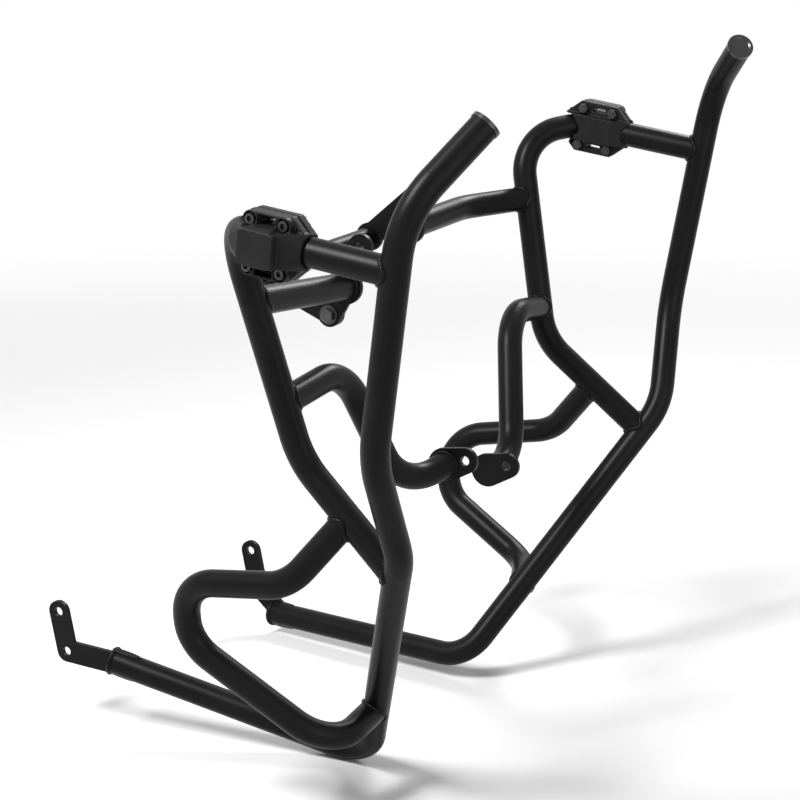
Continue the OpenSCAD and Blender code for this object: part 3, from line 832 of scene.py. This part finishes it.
def floor_material():
    """Pale paper that keeps the shadow near the object and runs out into white."""
    p = bpy.context.scene.crash_stage
    mat = textured(
        "floor_paper", moulded_surface(), base=p.floor, variation=shade(p.floor, 0.99),
        roughness=0.8, grain=0.02)
    nt = mat.node_tree
    bsdf = next(n for n in nt.nodes if n.type == "BSDF_PRINCIPLED")
    out = next(n for n in nt.nodes if n.type == "OUTPUT_MATERIAL")
    coord = nt.nodes.new("ShaderNodeTexCoord")
    length = nt.nodes.new("ShaderNodeVectorMath")
    length.operation = "LENGTH"
    fade = nt.nodes.new("ShaderNodeMapRange")
    fade.interpolation_type = "SMOOTHSTEP"
    fade.inputs["From Min"].default_value = FLOOR_FADE[0] * FLOOR_R
    fade.inputs["From Max"].default_value = FLOOR_FADE[1] * FLOOR_R
    path = nt.nodes.new("ShaderNodeLightPath")
    factor = nt.nodes.new("ShaderNodeMath")
    factor.operation = "MULTIPLY"
    white = nt.nodes.new("ShaderNodeEmission")
    mix = nt.nodes.new("ShaderNodeMixShader")
    nt.links.new(coord.outputs["Object"], length.inputs[0])
    nt.links.new(length.outputs["Value"], fade.inputs["Value"])
    nt.links.new(fade.outputs["Result"], factor.inputs[0])
    nt.links.new(shown_rays(nt, path), factor.inputs[1])
    nt.links.new(factor.outputs["Value"], mix.inputs["Fac"])
    nt.links.new(bsdf.outputs["BSDF"], mix.inputs[1])
    nt.links.new(white.outputs["Emission"], mix.inputs[2])
    nt.links.new(mix.outputs["Shader"], out.inputs["Surface"])
    return mat


def white_world():
    """White where it is seen or reflected, softer as light on the object."""
    world = bpy.data.worlds.new("studio")
    bpy.context.scene.world = world
    world.use_nodes = True
    nt = world.node_tree
    nt.nodes.clear()
    out = nt.nodes.new("ShaderNodeOutputWorld")
    mix = nt.nodes.new("ShaderNodeMixShader")
    seen = nt.nodes.new("ShaderNodeBackground")
    lit = nt.nodes.new("ShaderNodeBackground")
    path = nt.nodes.new("ShaderNodeLightPath")
    seen.inputs["Color"].default_value = (1, 1, 1, 1)
    seen.inputs["Strength"].default_value = 1.0
    lit.inputs["Color"].default_value = (1, 1, 1, 1)
    lit.inputs["Strength"].default_value = WORLD_LIGHT
    nt.links.new(shown_rays(nt, path), mix.inputs["Fac"])
    nt.links.new(lit.outputs["Background"], mix.inputs[1])
    nt.links.new(seen.outputs["Background"], mix.inputs[2])
    nt.links.new(mix.outputs["Shader"], out.inputs["Surface"])


def add_floor(centre, height):
    """Round paper floor below the bars, marked as a backdrop."""
    bm = bmesh.new()
    bmesh.ops.create_circle(bm, cap_ends=True, segments=FLOOR_SIDES, radius=FLOOR_R)
    mesh = bpy.data.meshes.new("floor")
    bm.to_mesh(mesh)
    bm.free()
    floor = bpy.data.objects.new("floor", mesh)
    floor.location = (centre.x, centre.y, height)
    bpy.context.scene.collection.objects.link(floor)
    mesh.materials.append(floor_material())
    floor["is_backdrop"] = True


def add_camera(lens):
    """Camera at the photo's viewing angle."""
    data = bpy.data.cameras.new("camera")
    data.lens = lens
    data.sensor_width = SENSOR
    data.clip_start, data.clip_end = NEAR_CLIP, FAR_CLIP
    cam = bpy.data.objects.new("camera", data)
    cam.location = to_row(CAMERA_AT)
    cam.rotation_mode = "QUATERNION"
    cam.rotation_quaternion = CAMERA_FORWARD.to_track_quat("-Z", "Y")
    bpy.context.scene.collection.objects.link(cam)
    bpy.context.scene.camera = cam


class CRASH_OT_stage(bpy.types.Operator):
    """Pale floor, soft studio light and the camera"""

    bl_idname = "crash.stage"
    bl_label = "Stage"

    def execute(self, context):
        p = context.scene.crash_stage
        low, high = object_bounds()
        centre = (low + high) / 2
        white_world()
        add_floor(centre, low.z - FLOOR_DROP)
        add_camera(p.lens)
        area_light("key", centre, KEY_PLACE, KEY_SIZE, p.key)
        area_light("fill", centre, FILL_PLACE, FILL_SIZE, p.fill)
        area_light("rim", centre, RIM_PLACE, RIM_SIZE, p.rim)
        context.scene.view_settings.view_transform = "Standard"
        return {"FINISHED"}


class CRASH_PT_panel(bpy.types.Panel):
    bl_label = "Crash bars"
    bl_idname = "CRASH_PT_panel"
    bl_space_type = "VIEW_3D"
    bl_region_type = "UI"
    bl_category = "Crash bars"

    def draw(self, context):
        scene = context.scene
        for group in (scene.crash_coat, scene.crash_plastic, scene.crash_weld, scene.crash_stage):
            box = self.layout.box()
            for prop in group.bl_rna.properties:
                if prop.identifier not in ("rna_type", "name"):
                    box.prop(group, prop.identifier)
        for op in OPERATORS:
            self.layout.operator(op.bl_idname)


GROUPS = {
    "crash_coat": CrashCoat,
    "crash_plastic": CrashPlastic,
    "crash_weld": CrashWeld,
    "crash_stage": CrashStage,
}
OPERATORS = (
    CRASH_OT_coat,
    CRASH_OT_sliders,
    CRASH_OT_caps,
    CRASH_OT_fasteners,
    CRASH_OT_welds,
    CRASH_OT_stage,
)


def register():
    for name, cls in GROUPS.items():
        bpy.utils.register_class(cls)
        setattr(bpy.types.Scene, name, bpy.props.PointerProperty(type=cls))
    for cls in (*OPERATORS, CRASH_PT_panel):
        bpy.utils.register_class(cls)


def unregister():
    for cls in reversed((*OPERATORS, CRASH_PT_panel)):
        bpy.utils.unregister_class(cls)
    for name, cls in GROUPS.items():
        delattr(bpy.types.Scene, name)
        bpy.utils.unregister_class(cls)


def main():
    register()
    bpy.ops.crash.coat()
    bpy.ops.crash.sliders()
    bpy.ops.crash.caps()
    bpy.ops.crash.fasteners()
    bpy.ops.crash.welds()
    bpy.ops.crash.stage()


if __name__ == "__main__":
    main()
